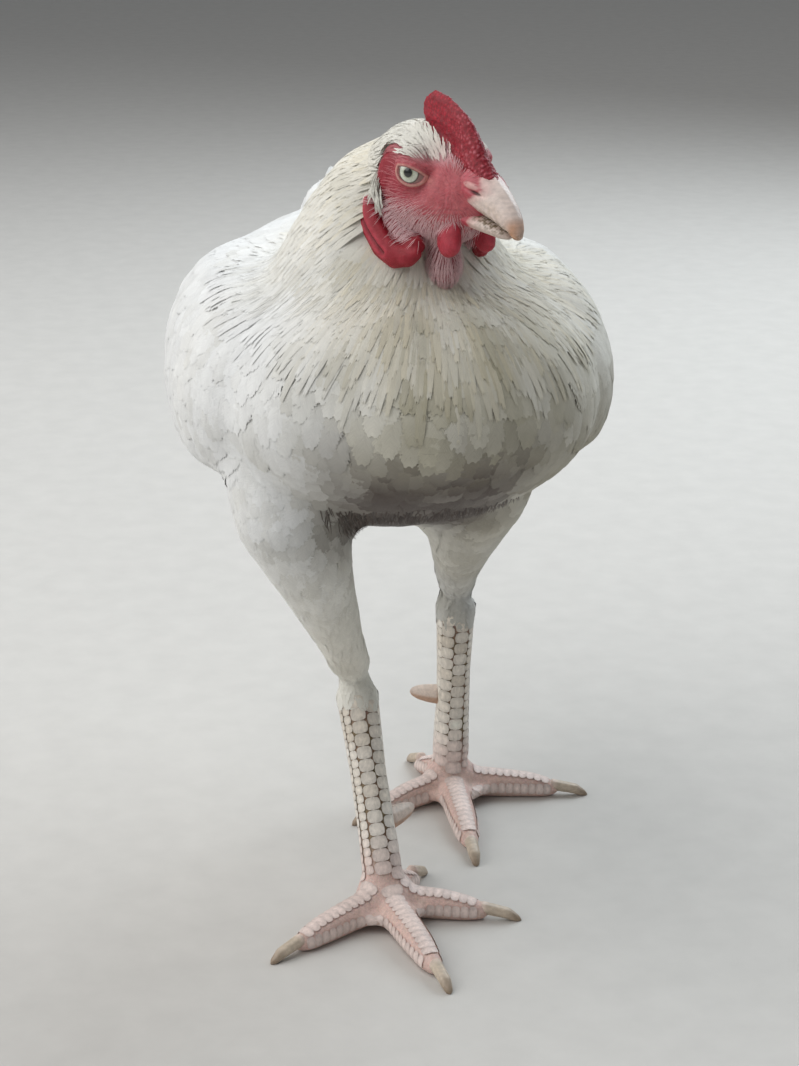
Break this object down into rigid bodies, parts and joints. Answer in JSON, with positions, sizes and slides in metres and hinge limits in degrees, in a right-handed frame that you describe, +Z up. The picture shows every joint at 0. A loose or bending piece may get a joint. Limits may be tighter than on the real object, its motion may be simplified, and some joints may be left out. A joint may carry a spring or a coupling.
{
  "type": "chicken",
  "caption": "Life-size still model of a white meat-type cockerel in mid-stride, head low and turned to its left, with a low red comb and short blunt spurs.",
  "frame": {"origin": "on the floor, under the middle of the bounding box", "axes": "+Z up; -Y is the way the bird walks; +X is towards its left side"},
  "size_m": [0.1704, 0.3132, 0.3045],
  "materials": {
    "feather": "soft matt white plumage",
    "bare_skin": "moist grainy red skin",
    "leg": "smooth scaly skin",
    "horn": "satin horn",
    "eye": "wet gloss"
  },
  "bodies": {
    "root": {"head": "feather", "neck": "feather", "trunk": "feather", "tail": "feather", "wing_left": "feather", "wing_right": "feather", "thigh_left": "feather", "thigh_right": "feather", "comb": "bare_skin", "throat_fold": "bare_skin", "wattle_left": "bare_skin", "earlobe_left": "bare_skin", "wattle_right": "bare_skin", "earlobe_right": "bare_skin", "shank_left": "leg", "foot_left": "leg", "toe_outer_left": "leg", "toe_middle_left": "leg", "toe_inner_left": "leg", "toe_hind_left": "leg", "shank_right": "leg", "foot_right": "leg", "toe_outer_right": "leg", "toe_middle_right": "leg", "toe_inner_right": "leg", "toe_hind_right": "leg", "beak_upper": "horn", "beak_lower": "horn", "spur_left": "horn", "claw_outer_left": "horn", "claw_middle_left": "horn", "claw_inner_left": "horn", "claw_hind_left": "horn", "spur_right": "horn", "claw_outer_right": "horn", "claw_middle_right": "horn", "claw_inner_right": "horn", "claw_hind_right": "horn", "eye_left": "eye", "eye_right": "eye"}
  },
  "joints": []
}
